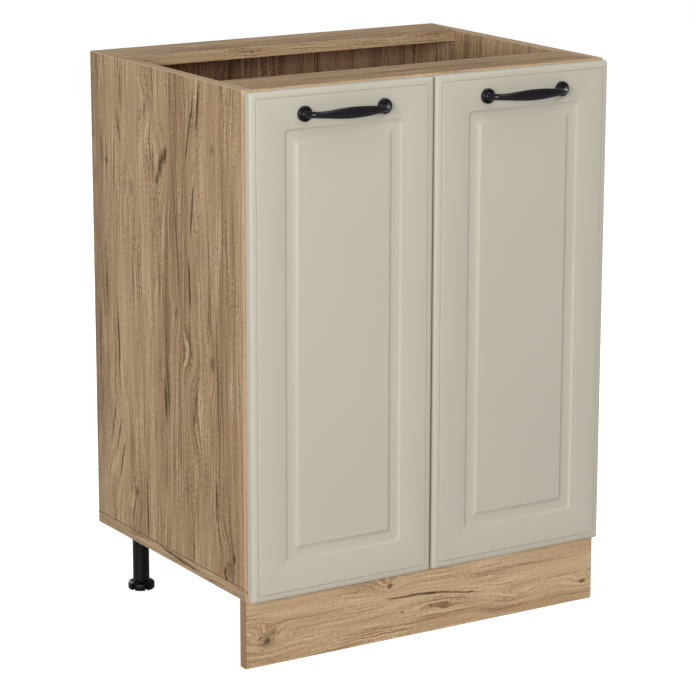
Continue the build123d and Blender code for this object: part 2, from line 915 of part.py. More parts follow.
def build():
    os.makedirs("parts", exist_ok=True)
    save(bottom_panel(), "bottom_panel")
    save(front_rail(), "front_rail")
    save(rear_rail(), "rear_rail")
    save(back_panel(), "back_panel")
    save(shelf(), "shelf")
    save(group(shelf_pins()), "shelf_pins")
    save(plinth_board(), "plinth_board")
    save(group(plinth_brackets()), "plinth_brackets")
    save(group(bracket_screws()), "plinth_bracket_screws")
    save(edge_band_bottom(), "edge_band_bottom")
    save(edge_band_rail(), "edge_band_rail")
    save(edge_band_shelf(), "edge_band_shelf")
    save(group(confirmats()), "carcass_screws")
    save(group(rail_dowels()), "rail_dowels")
    save(group(back_nails()), "back_nails")
    save(group(socket_screws()), "leg_socket_screws")
    save(group(arm_pins()), "hinge_arm_pins")
    save(group(mount_screws()), "hinge_plate_screws")
    save(group(clamp_screws()), "hinge_clamp_screws")
    for side, word in ((-1, "left"), (1, "right")):
        save(side_panel(side), "side_panel_" + word)
        save(edge_band_side(side), "edge_band_" + word)
        save(leg_socket(side), "leg_socket_" + word)
        save(leg_tube(side), "leg_tube_" + word)
        save(leg_foot(side), "leg_foot_" + word)
        save(door(side), "door_" + word)
        save(handle(side), "handle_" + word)
        save(group(handle_screws(side)), "handle_screws_" + word)
        save(group(door_pins(side)), "hinge_cup_pins_" + word)
        save(group(cup_screws(side)), "hinge_cup_screws_" + word)
        save(group(door_buffers(side)), "door_buffers_" + word)
        for z, level in zip(hinge_heights, ("lower", "upper")):
            tail = "_" + level + "_" + word
            save(hinge_cup(z, side), "hinge_cup" + tail)
            save(hinge_link(z, side), "hinge_link" + tail)
            save(hinge_arm(z, side), "hinge_arm" + tail)
            save(mount_plate(z, side), "hinge_plate" + tail)


build()
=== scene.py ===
import bpy
import bmesh
import math
from mathutils import Matrix, Vector


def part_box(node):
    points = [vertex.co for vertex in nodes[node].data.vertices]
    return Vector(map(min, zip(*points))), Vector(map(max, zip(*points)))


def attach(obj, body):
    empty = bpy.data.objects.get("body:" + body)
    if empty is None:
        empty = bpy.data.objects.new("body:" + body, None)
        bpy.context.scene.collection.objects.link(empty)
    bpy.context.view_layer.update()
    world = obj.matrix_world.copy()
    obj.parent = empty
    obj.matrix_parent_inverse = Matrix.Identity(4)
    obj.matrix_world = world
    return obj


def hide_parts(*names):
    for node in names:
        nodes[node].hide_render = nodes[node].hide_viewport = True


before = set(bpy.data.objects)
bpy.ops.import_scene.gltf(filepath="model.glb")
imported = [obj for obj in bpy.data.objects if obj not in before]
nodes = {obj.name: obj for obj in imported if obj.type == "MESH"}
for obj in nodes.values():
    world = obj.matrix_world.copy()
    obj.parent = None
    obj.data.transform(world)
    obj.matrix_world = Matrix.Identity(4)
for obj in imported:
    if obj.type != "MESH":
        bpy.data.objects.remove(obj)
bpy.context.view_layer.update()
mm = 0.001


# ---- Left side panel
# 16 mm particleboard faced with a printed rustic oak decor, matt, its grain upright. The print shows staves,
# splits and small knots. The panel stands on the bottom panel and is held by long screws from below.

def linear(hex_colour):
    """An sRGB hex colour as the linear colour that shaders take."""
    parts = [int(hex_colour[i:i + 2], 16) / 255 for i in (1, 3, 5)]
    return [c / 12.92 if c <= 0.04045 else ((c + 0.055) / 1.055) ** 2.4 for c in parts] + [1.0]


def add(tree, kind, inputs=(), stops=(), **settings):
    """Adds one node: settings are its properties, inputs its sockets' values or what they are linked to."""
    made = tree.nodes.new(kind)
    for name, value in settings.items():
        setattr(made, name, value)
    for socket, value in dict(inputs).items():
        if isinstance(value, bpy.types.NodeSocket):
            tree.links.new(value, made.inputs[socket])
        else:
            made.inputs[socket].default_value = value
    if stops:
        row = made.color_ramp.elements
        while len(row) < len(stops):
            row.new(0.5)
        for element, (place, colour) in zip(row, stops):
            element.position = place
            element.color = linear(colour)
    return made


def new_material(name):
    """An empty material with its surface shader."""
    made = bpy.data.materials.new(name)
    made.use_nodes = True
    made.node_tree.nodes.clear()
    surface = add(made.node_tree, "ShaderNodeBsdfPrincipled")
    add(made.node_tree, "ShaderNodeOutputMaterial", {"Surface": surface.outputs["BSDF"]})
    return made, made.node_tree, surface


def oak_decor(name, across, along, marks, knots, shift=0.0, lines=(), spread=1.0,
              tones=("#7a5e43", "#a28362", "#b79874", "#d2b693")):
    """Oak printed on paper under a matt melamine skin, lengths in mm. across and along are the axes over and
    along the grain. marks are dark splits and knots: across, along, turn in degrees, half width, half
    length, depth. knots bend the grain: across, along, half width, half length, how far. lines are pale and
    dark lines along edges and joints, some of them painted highlight and painted shade: axis, place, half
    width, colour. shift takes another part of the print, and a spread above 1 softens its contrast."""
    material, tree, surface = new_material(name)
    coordinates = add(tree, "ShaderNodeTexCoord")
    split = add(tree, "ShaderNodeSeparateXYZ", {0: coordinates.outputs["Object"]})
    # on an edge the print's strip is laid along it, so no face shows the grain end on
    third = 3 - across - along
    facing = add(tree, "ShaderNodeSeparateXYZ", {0: coordinates.outputs["Normal"]})
    steep = []
    for axis in (across, along):
        turned = add(tree, "ShaderNodeMath", {0: facing.outputs[axis]}, operation="ABSOLUTE").outputs[0]
        steep.append(add(tree, "ShaderNodeMath", {0: turned, 1: 0.7}, operation="GREATER_THAN").outputs[0])
    edge = add(tree, "ShaderNodeMath", {0: steep[0], 1: steep[1]}, operation="MAXIMUM").outputs[0]
    over = add(tree, "ShaderNodeMix", {0: edge, 2: split.outputs[across], 3: split.outputs[third]})
    over = over.outputs[0]
    length = add(tree, "ShaderNodeMix", {0: steep[1], 2: split.outputs[along], 3: split.outputs[across]})
    length = length.outputs[0]
    flat = add(tree, "ShaderNodeCombineXYZ", {0: over, 1: length}).outputs[0]

    # where each fibre lies: the grain wanders over 80 mm, trembles every 30 mm and gives way to the knots
    slow = add(tree, "ShaderNodeVectorMath", {0: flat, 1: (12, 2, 1), 2: (shift, shift, 0)},
               operation="MULTIPLY_ADD")
    slow = add(tree, "ShaderNodeTexNoise", {"Vector": slow.outputs[0], "Scale": 1.0, "Detail": 1.0})
    slow = slow.outputs["Fac"]
    tremble = add(tree, "ShaderNodeVectorMath", {0: flat, 1: (36, 22, 1)}, operation="MULTIPLY")
    tremble = add(tree, "ShaderNodeTexNoise", {"Vector": tremble.outputs[0], "Scale": 1.0, "Detail": 2.0})
    bent = over
    for wander, by in ((slow, 36 * mm), (tremble.outputs["Fac"], 7 * mm)):
        bent = add(tree, "ShaderNodeMath", {0: wander, 1: by, 2: bent}, operation="MULTIPLY_ADD").outputs[0]
    for u, v, wide, tall, lift in knots:
        spot = add(tree, "ShaderNodeMapping", {
            "Vector": flat, "Location": (u * mm, v * mm, 0), "Scale": (wide * mm, tall * mm, 1),
        }, vector_type="TEXTURE")
        reach = add(tree, "ShaderNodeVectorMath", {0: spot.outputs[0]}, operation="LENGTH").outputs["Value"]
        bump = add(tree, "ShaderNodeMapRange", {0: reach, 1: 1.0, 2: 0.0, 3: 0.0, 4: lift * mm},
                   interpolation_type="SMOOTHERSTEP")
        bent = add(tree, "ShaderNodeMath", {0: bent, 1: bump.outputs[0]}, operation="ADD").outputs[0]

    # the print joins staves about 70 mm wide, 14 to a metre: each has its own tone and drawing, with a fine
    # line where two meet
    joint = add(tree, "ShaderNodeMath", {0: slow, 1: 10 * mm, 2: over}, operation="MULTIPLY_ADD").outputs[0]
    joint = add(tree, "ShaderNodeMath", {0: joint, 1: 14.0, 2: shift}, operation="MULTIPLY_ADD").outputs[0]
    stave = add(tree, "ShaderNodeTexVoronoi", {"W": joint, "Scale": 1.0}, voronoi_dimensions="1D")
    stave = add(tree, "ShaderNodeMath", {0: stave.outputs["Color"], 1: 0.5}, operation="SUBTRACT").outputs[0]
    joint = add(tree, "ShaderNodeTexVoronoi", {"W": joint, "Scale": 1.0}, voronoi_dimensions="1D",
                feature="DISTANCE_TO_EDGE").outputs["Distance"]
    joint = add(tree, "ShaderNodeMapRange", {0: joint, 1: 0.018, 2: 0.004, 3: 0.0, 4: 0.32}).outputs[0]
    other = add(tree, "ShaderNodeMath", {0: stave, 1: 0.9, 2: length}, operation="MULTIPLY_ADD").outputs[0]
    bent = add(tree, "ShaderNodeCombineXYZ", {0: bent, 1: other}).outputs[0]

    # fibres show in some places and are soft in others
    clear = add(tree, "ShaderNodeVectorMath", {0: bent, 1: (26, 7, 1), 2: (shift, 9, 0)},
                operation="MULTIPLY_ADD")
    clear = add(tree, "ShaderNodeTexNoise", {"Vector": clear.outputs[0], "Scale": 1.0, "Detail": 2.0})
    clear = add(tree, "ShaderNodeMapRange", {0: clear.outputs["Fac"], 1: 0.38, 2: 0.66, 3: 0.35, 4: 1.7})
    clear = clear.outputs[0]

    # the grain's tone adds up broad areas 90 mm wide, streaks 12 mm, growth lines 5 mm, fibres 1.7 mm and
    # short curls of brushed fibre, each as cells to a metre over and along, detail and share. The fibres are
    # drawn coarser than real so that they show
    level = add(tree, "ShaderNodeMath", {0: edge, 1: 0.046, 2: 0.508}, operation="MULTIPLY_ADD").outputs[0]
    level = add(tree, "ShaderNodeMath", {0: stave, 1: 0.055, 2: level}, operation="MULTIPLY_ADD").outputs[0]
    layers = (("area", (11, 1.0, 1), 2.0, 0.22), ("streak", (80, 2.4, 1), 3.0, 0.2),
              ("line", (210, 2.4, 1), 3.0, 0.3), ("fibre", (600, 9, 1), 3.0, 0.56),
              ("curl", (340, 190, 1), 3.0, 0.28))
    for layer, cells, detail, share in layers:
        drawn = add(tree, "ShaderNodeVectorMath", {0: bent, 1: cells, 2: (shift + 3, 5, 0)},
                    operation="MULTIPLY_ADD")
        noise = add(tree, "ShaderNodeTexNoise", {
            "Vector": drawn.outputs[0], "Scale": 1.0, "Detail": detail, "Roughness": 0.6,
        })
        noise = add(tree, "ShaderNodeMath", {0: noise.outputs["Fac"], 1: 0.5}, operation="SUBTRACT")
        if layer in ("line", "fibre", "curl"):
            noise = add(tree, "ShaderNodeMath", {0: noise.outputs[0], 1: clear}, operation="MULTIPLY")
        level = add(tree, "ShaderNodeMath", {0: noise.outputs[0], 1: share, 2: level},
                    operation="MULTIPLY_ADD").outputs[0]
    places = [0.5 + off * spread for off in (-0.11, -0.03, 0.02, 0.12)]
    colour = add(tree, "ShaderNodeValToRGB", {0: level}, stops=list(zip(places, tones)))

    # pores and stave joints, then splits and knots, with ragged edges and paler specks in them
    pores = add(tree, "ShaderNodeVectorMath", {0: bent, 1: (800, 80, 1)}, operation="MULTIPLY")
    pores = add(tree, "ShaderNodeTexNoise", {"Vector": pores.outputs[0], "Scale": 1.0, "Detail": 1.0})
    dark = add(tree, "ShaderNodeMapRange", {0: pores.outputs["Fac"], 1: 0.4, 2: 0.26, 3: 0.0, 4: 0.35})
    joint = add(tree, "ShaderNodeMath", {0: joint, 1: clear}, operation="MULTIPLY").outputs[0]
    dark = add(tree, "ShaderNodeMath", {0: dark.outputs[0], 1: joint}, operation="MAXIMUM").outputs[0]
    ragged = add(tree, "ShaderNodeVectorMath", {0: flat, 1: (70, 16, 1)}, operation="MULTIPLY")
    ragged = add(tree, "ShaderNodeTexNoise", {
        "Vector": ragged.outputs[0], "Scale": 1.0, "Detail": 4.0, "Roughness": 0.65,
    })
    speck = add(tree, "ShaderNodeMapRange", {0: ragged.outputs["Fac"], 1: 0.38, 2: 0.54, 3: 0.5, 4: 1.0})
    ragged = add(tree, "ShaderNodeVectorMath", {0: ragged.outputs["Color"], 1: (0.5, 0.5, 0.5)},
                 operation="SUBTRACT").outputs[0]
    torn, cracked = [
        add(tree, "ShaderNodeVectorMath", {0: ragged, 1: (by * mm, 20 * mm, 0), 2: flat},
            operation="MULTIPLY_ADD").outputs[0] for by in (14, 6)
    ]
    for u, v, turn, wide, tall, depth in marks:
        is_split = tall > 6 * wide
        spot = add(tree, "ShaderNodeMapping", {
            "Vector": cracked if is_split else torn, "Location": (u * mm, v * mm, 0),
            "Rotation": (0, 0, math.radians(turn)), "Scale": (wide * mm, tall * mm, 1),
        }, vector_type="TEXTURE")
        reach = add(tree, "ShaderNodeVectorMath", {0: spot.outputs[0]}, operation="LENGTH").outputs["Value"]
        core = 0.5 if is_split else 0.3
        spot = add(tree, "ShaderNodeMapRange", {0: reach, 1: 1.0, 2: core, 3: 0.0, 4: depth},
                   interpolation_type="SMOOTHSTEP")
        dark = add(tree, "ShaderNodeMath", {0: dark, 1: spot.outputs[0]}, operation="MAXIMUM").outputs[0]
    dark = add(tree, "ShaderNodeMath", {0: dark, 1: speck.outputs[0]}, operation="MULTIPLY").outputs[0]
    colour = add(tree, "ShaderNodeMix", {"Factor": dark, "A": colour.outputs[0], "B": linear("#4f3319")},
                 data_type="RGBA").outputs["Result"]
    # pale and dark lines along edges and joints, some of them painted highlight and painted shade
    for axis, place, width, tone in lines:
        off = add(tree, "ShaderNodeMath", {0: split.outputs[axis], 1: place * mm}, operation="SUBTRACT")
        off = add(tree, "ShaderNodeMath", {0: off.outputs[0]}, operation="ABSOLUTE").outputs[0]
        off = add(tree, "ShaderNodeMapRange", {0: off, 1: width * mm, 2: width * 0.6 * mm, 3: 0.0, 4: 0.75})
        colour = add(tree, "ShaderNodeMix", {"Factor": off.outputs[0], "A": colour, "B": linear(tone)},
                     data_type="RGBA").outputs["Result"]

    # the skin is matt, with pores embossed 1.6 mm apart that catch the light along the grain
    emboss = add(tree, "ShaderNodeVectorMath", {0: flat, 1: (620, 20, 1)}, operation="MULTIPLY")
    emboss = add(tree, "ShaderNodeTexNoise", {"Vector": emboss.outputs[0], "Scale": 1.0, "Detail": 2.0})
    emboss = emboss.outputs["Fac"]
    bump = add(tree, "ShaderNodeBump", {"Height": emboss, "Strength": 0.25, "Distance": 0.4 * mm})
    gloss = add(tree, "ShaderNodeMapRange", {0: emboss, 3: 0.66, 4: 0.54})
    tree.links.new(colour, surface.inputs["Base Color"])
    tree.links.new(gloss.outputs[0], surface.inputs["Roughness"])
    tree.links.new(bump.outputs[0], surface.inputs["Normal"])
    surface.inputs["Specular IOR Level"].default_value = 0.25
    return material


def finish_node(name, material):
    """Gives a CAD node its real finish."""
    piece = nodes[name]
    if not piece.material_slots:
        piece.data.materials.append(material)
    for holder in piece.material_slots:
        holder.material = material


left_marks = (
    (31, 685, 22, 11, 31, 0.92), (19, 700, 8, 6, 20, 0.95), (44, 662, 26, 7, 14, 0.85),
    (-76, 777, 5, 3.12, 46, 0.98), (-51, 745, 14, 2.95, 66.7, 0.98), (-59, 636, 9, 3.36, 59.8, 0.98),
    (-63, 690, 16, 8, 20, 0.5), (-49, 520, -2, 3.94, 59.8, 0.98), (-47, 440, 0, 4.92, 50.6, 0.45),
    (153, 784, 0, 2.54, 48.3, 0.98), (162, 724, -16, 2.13, 29.9, 0.94), (20, 400, -3, 2.95, 109.2, 0.88),
    (25, 336, -4, 4.1, 41.4, 0.98), (86, 160, 0, 2.54, 69, 0.98), (-54, 143, 0, 2.54, 50.6, 0.98),
    (170, 400, -2, 2.54, 92, 0.94), (206, 500, -3, 3.53, 69, 0.81), (-10, 600, -6, 2.38, 126.5, 0.75),
    (-127, 400, -2, 2.38, 172.5, 0.69), (-145, 620, 0, 2.38, 103.5, 0.62),
    (-121, 225, 0, 2.95, 39.1, 0.88), (262, 470, 0, 108, 640, 0.4), (122, 638, 0, 9, 14, 0.55),
    (201, 666, 0, 5, 8, 0.75), (-117, 726, 12, 7, 12, 0.5), (240, 698, 0, 6, 14, 0.6),
    (-9, 476, 10, 6, 11, 0.75), (209, 433, 0, 6, 15, 0.6), (117, 178, 0, 8, 14, 0.75),
    (-112, 422, 0, 8, 14, 0.6), (-156, 134, 10, 15, 18, 0.4), (-170, 154, 6, 4.5, 12, 0.9),
    (-157, 141, 78, 3, 15, 0.88), (-144, 128, 8, 5, 11, 0.95), (-147, 117, -20, 3.2, 8, 0.92),
    (-50, 424, 14, 9, 10, 0.5), (-62, 345, 10, 3.94, 41.4, 0.88), (80, 756, 0, 5, 15, 0.5),
    (71, 776, 0, 4, 10, 0.5), (190, 270, 14, 3.44, 50.6, 0.85), (176, 246, 16, 3.12, 46, 0.8),
    (163, 222, 18, 2.95, 39.1, 0.75), (60, 560, 4, 1.97, 80.5, 0.44), (40, 610, -8, 2.38, 34.5, 0.56),
)
left_knots = (
    (30, 685, 55, 95, 16.5), (122, 638, 30, 60, 11), (-62, 690, 45, 120, -13.75), (-112, 421, 35, 70, 11),
    (-52, 424, 38, 60, 13.75), (117, 178, 30, 62, 11), (-152, 144, 42, 74, 16.5),
    (172, 240, 60, 110, 27.5), (75, 765, 34, 60, 11), (-9, 476, 26, 50, 11), (-60, 340, 40, 90, -11),
)
# the front edge's light band, partly the band's pale edge and partly painted highlight, the back edge, a
# light line along the top edge and a painted shadow line in the joint over the bottom panel
side_lines_with_painted_light_and_shade = ((1, -201.5, 3.0, "#e2c6a4"), (1, 245.5, 1.6, "#cfae88"), (2, 819.4, 0.6, "#e2c6a4"),
              (2, 116, 1.8, "#4d3826"))
left_oak = oak_decor("printed_oak_left_side", 1, 2, left_marks, left_knots, lines=side_lines_with_painted_light_and_shade)
finish_node("side_panel_left", left_oak)


# ---- Right side panel
# The same board from another place of the print, so its knots lie elsewhere. It stands on the bottom panel
# and is screwed from below like the left one.

right_marks = (
    (90, 610, 20, 8, 24, 0.8), (-40, 300, 0, 7, 18, 0.75), (-150, 520, -10, 5, 14, 0.7),
    (170, 250, 8, 6, 16, 0.6), (10, 720, 4, 2.46, 69, 0.85), (24, 560, -6, 2.3, 92, 0.7),
    (-90, 420, 3, 1.97, 138, 0.5), (120, 380, -2, 1.97, 149.5, 0.5), (-20, 160, 0, 2.13, 50.6, 0.9),
    (-170, 700, 0, 2.13, 103.5, 0.7), (200, 600, 2, 1.8, 126.5, 0.5), (60, 200, -10, 2.62, 57.5, 0.6),
)
right_knots = (
    (90, 610, 55, 95, 16.5), (-40, 300, 45, 80, 16.5), (-150, 520, 34, 70, 11), (170, 250, 40, 80, 16.5),
    (20, 640, 50, 140, -13.75),
)
right_oak = oak_decor("printed_oak_right_side", 1, 2, right_marks, right_knots, shift=3.7, lines=side_lines_with_painted_light_and_shade)
finish_node("side_panel_right", right_oak)


# ---- Bottom panel, rails and shelf
# The same printed board with its grain from side to side. The bottom panel carries the sides, the rails are
# dowelled between them, and the shelf lies loose on four pins.

level_marks = (
    (110, -4, -4, 3.12, 75.9, 1), (30, -120, 0, 8, 22, 0.75), (-160, 180, 6, 1.31, 103.5, 0.7),
    (190, 60, -3, 1.23, 126.5, 0.6), (205, -180, 0, 5, 14, 0.6),
)
level_knots = (
    (30, -120, 45, 90, 16.5), (205, -180, 30, 60, 11),
)
# its tones are darker than the sides': painted shade, for the dimmer light on the boards' upward faces
level_oak_painted_shade = oak_decor("printed_oak_level_boards_painted_shade", 1, 0, level_marks, level_knots, shift=6.1,
                      tones=("#75593f", "#9b7d5d", "#b0926f", "#cab08d"))
for name in ("bottom_panel", "front_rail", "rear_rail", "shelf"):
    finish_node(name, level_oak_painted_shade)


# ---- Plinth board
# A separate strip of the same board in front of the legs, its grain from side to side, with a knot at its
# left end and a long split. Three brackets behind it hold it under the bottom panel.

plinth_marks = (
    (38, -264, -35, 15, 26, 0.5), (36, -266, -40, 6, 14, 0.9), (46, -256, 30, 4, 9, 0.8),
    (31, -274, 20, 4, 9, 0.8), (42, -276, -10, 3, 7, 0.8), (82, -62, 0, 6, 8, 0.8),
    (61, -34, 2, 1.64, 46, 0.9), (58, 12, 6, 2.46, 50.6, 1), (51, 60, 9, 1.48, 48.3, 0.9),
    (39, -38, 10, 3, 6, 0.75), (30, 284, 0, 4, 9, 0.8), (60, -180, 2, 0.98, 103.5, 0.45),
    (22, 60, -2, 0.98, 138, 0.45), (74, 180, 2, 0.98, 115, 0.5), (14, -160, 0, 0.98, 92, 0.45),
    (64, 140, 4, 3, 18, 0.5),
)
plinth_knots = (
    (37, -265, 32, 66, 19.25), (82, -62, 26, 50, 13.75), (30, 284, 24, 44, 11), (50, 20, 28, 130, -13.75),
    (20, 160, 26, 90, 13.75),
)
# the left end face is darker: painted shade, for the dimmer light that falls on it
plinth_end_painted_shade = ((0, -300, 1.0, "#94714f"),)
# its tones are lighter than the sides': painted light, for the stronger light on the front
plinth_oak_painted_light_and_shade = oak_decor("printed_oak_plinth_painted_light_and_shade", 2, 0, plinth_marks, plinth_knots, shift=1.3, lines=plinth_end_painted_shade,
                       spread=1.3, tones=("#876a4d", "#bb9b76", "#cfb08a", "#e6caa5"))
finish_node("plinth_board", plinth_oak_painted_light_and_shade)


# ---- Edge bands
# Thin melamine bands ironed over the boards' front edges. They carry the boards' print in a lighter tone,
# upright on the sides and level on the bottom panel, the rail and the shelf.

band_tones = ("#a88a66", "#c9a980", "#d8b98f", "#e6cca6")
upright_band = oak_decor("printed_oak_edge_band", 0, 2, (), (), shift=2.2, tones=band_tones)
level_band = oak_decor("printed_oak_edge_band_level", 2, 0, (), (), shift=4.2, tones=band_tones)
for name in ("edge_band_left", "edge_band_right"):
    finish_node(name, upright_band)
for name in ("edge_band_bottom", "edge_band_rail", "edge_band_shelf"):
    finish_node(name, level_band)


# ---- Back panel
# 3 mm hardboard nailed over the back. Outside it is bare and brown, and its pressed wood fibres show as fine
# flecks. Its face towards the inside is printed like the boards, with broad dark staves.

inner_marks = (
    (-196, 700, 0, 2.13, 218.5, 0.8), (-120, 700, 0, 2.46, 218.5, 0.7), (-64, 690, 1, 3.28, 184, 0.8),
    (22, 720, 0, 2.46, 172.5, 0.5), (90, 740, 0, 2.13, 138, 0.7), (190, 640, 0, 2.46, 218.5, 0.6),
)
hardboard = oak_decor("hardboard_printed_inside", 0, 2, inner_marks, (), shift=8.3,
                      tones=("#6f4f3a", "#98765b", "#ad8b6c", "#c6a583"))
tree = hardboard.node_tree
surface = next(item for item in tree.nodes if item.type == "BSDF_PRINCIPLED")
coordinates = add(tree, "ShaderNodeTexCoord")
outside = add(tree, "ShaderNodeSeparateXYZ", {0: coordinates.outputs["Normal"]}).outputs[1]
outside = add(tree, "ShaderNodeMath", {0: outside, 1: 0.5}, operation="GREATER_THAN").outputs[0]
place = coordinates.outputs["Object"]
# flecks 2.4 mm wide, coarser than real so that they show, in clouds 140 mm wide
flecks = add(tree, "ShaderNodeTexNoise", {"Vector": place, "Scale": 420.0, "Detail": 4.0, "Roughness": 0.7})
clouds = add(tree, "ShaderNodeTexNoise", {"Vector": place, "Scale": 7.0, "Detail": 3.0})
level = add(tree, "ShaderNodeMath", {0: clouds.outputs["Fac"], 1: 0.15, 2: 0.08}, operation="MULTIPLY_ADD")
level = add(tree, "ShaderNodeMath", {0: flecks.outputs["Fac"], 1: 0.7, 2: level.outputs[0]},
            operation="MULTIPLY_ADD")
brown = add(tree, "ShaderNodeValToRGB", {0: level.outputs[0]},
            stops=((0.36, "#72573e"), (0.5, "#8d7052"), (0.64, "#a88a69")))
printed = surface.inputs["Base Color"].links[0].from_socket
colour = add(tree, "ShaderNodeMix", {"Factor": outside, "A": printed, "B": brown.outputs[0]},
             data_type="RGBA")
tree.links.new(colour.outputs["Result"], surface.inputs["Base Color"])
finish_node("back_panel", hardboard)


# ---- Doors
# Routed 16 mm fibreboard under a satin cream-grey film that is drawn over the mouldings, so every edge is
# soft. The back keeps its plain laminate, with two 35 mm bores for the hinge cups.

# the film is smooth and satin, with an orange peel 4 mm wide and slow changes of tone, both very faint
door_film, tree, surface = new_material("satin_thermoformed_film")
place = add(tree, "ShaderNodeTexCoord").outputs["Object"]
peel = add(tree, "ShaderNodeTexNoise", {"Vector": place, "Scale": 240.0, "Detail": 2.0})
clouds = add(tree, "ShaderNodeTexNoise", {"Vector": place, "Scale": 5.0, "Detail": 2.0})
colour = add(tree, "ShaderNodeMix", {
    "Factor": clouds.outputs["Fac"], "A": linear("#cac4b3"), "B": linear("#cec8b7"),
}, data_type="RGBA")
bump = add(tree, "ShaderNodeBump", {"Height": peel.outputs["Fac"], "Strength": 0.06, "Distance": 0.2 * mm})
gloss = add(tree, "ShaderNodeMapRange", {0: clouds.outputs["Fac"], 3: 0.42, 4: 0.5})
tree.links.new(colour.outputs["Result"], surface.inputs["Base Color"])
tree.links.new(bump.outputs[0], surface.inputs["Normal"])
tree.links.new(gloss.outputs[0], surface.inputs["Roughness"])
surface.inputs["Specular IOR Level"].default_value = 0.4

# the back's laminate is off-white and pressed with a fine even grain, 1.4 mm wide
door_back_laminate, tree, surface = new_material("white_melamine_door_back")
place = add(tree, "ShaderNodeTexCoord").outputs["Object"]
grain = add(tree, "ShaderNodeTexNoise", {"Vector": place, "Scale": 700.0, "Detail": 2.0})
colour = add(tree, "ShaderNodeMix", {
    "Factor": grain.outputs["Fac"], "A": linear("#d3cfc4"), "B": linear("#dedad0"),
}, data_type="RGBA")
bump = add(tree, "ShaderNodeBump", {"Height": grain.outputs["Fac"], "Strength": 0.1, "Distance": 0.2 * mm})
tree.links.new(colour.outputs["Result"], surface.inputs["Base Color"])
tree.links.new(bump.outputs[0], surface.inputs["Normal"])
surface.inputs["Roughness"].default_value = 0.5

# the door's section from its edge inwards, in mm: distance from the edge and depth under the face, first of
# the moulded edge, whose corners are all alike, then of the panel's groove and raised field, whose corner
# radius comes third
door_thickness, door_corner, corner_steps = 16.0, 3.0, 20
edge_moulding = ((0.0, 15.4), (0.0, 5.2), (0.35, 4.2), (1.1, 3.3), (2.3, 2.5), (3.9, 1.95), (5.8, 1.6),
                 (7.6, 1.4), (8.8, 1.4), (9.2, 1.7), (9.5, 2.3), (10.0, 2.4), (10.4, 1.6), (10.6, 0.4),
                 (11.0, 0.06), (11.6, 0.0))
panel_moulding = ((53.3, 0.0, 8.0), (53.7, 0.15, 7.6), (54.2, 0.9, 7.2), (54.9, 2.1, 6.6), (55.4, 2.5, 6.2),
                  (56.5, 2.7, 5.4), (58.5, 2.9, 4.2), (60.6, 3.0, 3.0), (62.6, 3.05, 1.8),
                  (67.6, 3.05, 0.6), (69.2, 2.75, 0.6), (73.0, 1.35, 0.6), (73.8, 0.3, 0.7),
                  (74.3, 0.05, 0.8), (74.8, 0.0, 0.9))
door_section = ((0.6, door_thickness, door_corner - 0.4),
                *((inset, depth, door_corner) for inset, depth in edge_moulding), *panel_moulding)
# the hinge cups' bores: distance from the cabinet's middle, heights, radius and depth, in mm
bore_place, bore_heights, bore_radius, bore_depth = 276, (200, 718), 17.5, 12.4


def corner_middle(point, low, high, inset, radius):
    """The middle of the rounding of the corner that a point of a ring belongs to."""
    x = high.x - inset - radius if point.x > (low.x + high.x) / 2 else low.x + inset + radius
    z = high.z - inset - radius if point.z > (low.z + high.z) / 2 else low.z + inset + radius
    return Vector((x, point.y, z))


def next_ring(mesh, edges, low, high, old, new):
    """Extrudes a ring of the door's face to its next inset, depth and corner radius."""
    grown = bmesh.ops.extrude_edge_only(mesh, edges=edges)["geom"]
    for vertex in grown:
        if isinstance(vertex, bmesh.types.BMVert):
            arm = (vertex.co - corner_middle(vertex.co, low, high, old[0], old[2])) / old[2]
            vertex.co = corner_middle(vertex.co, low, high, new[0], new[2]) + arm * new[2]
            vertex.co.y = new[1]
    return [item for item in grown if isinstance(item, bmesh.types.BMEdge)]


def show(name, mesh, materials, body, stands_for=(), smooth=40.0):
    """Makes a bmesh the piece name, shaded smooth up to an angle, and lets it ride on its body."""
    data = bpy.data.meshes.new(name)
    mesh.to_mesh(data)
    mesh.free()
    for face in data.polygons:
        face.use_smooth = True
    data.set_sharp_from_angle(angle=math.radians(smooth))
    for material in materials:
        data.materials.append(material)
    piece = bpy.data.objects.new(name, data)
    bpy.context.scene.collection.objects.link(piece)
    if stands_for:
        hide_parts(*stands_for)
    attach(piece, body)
    return piece


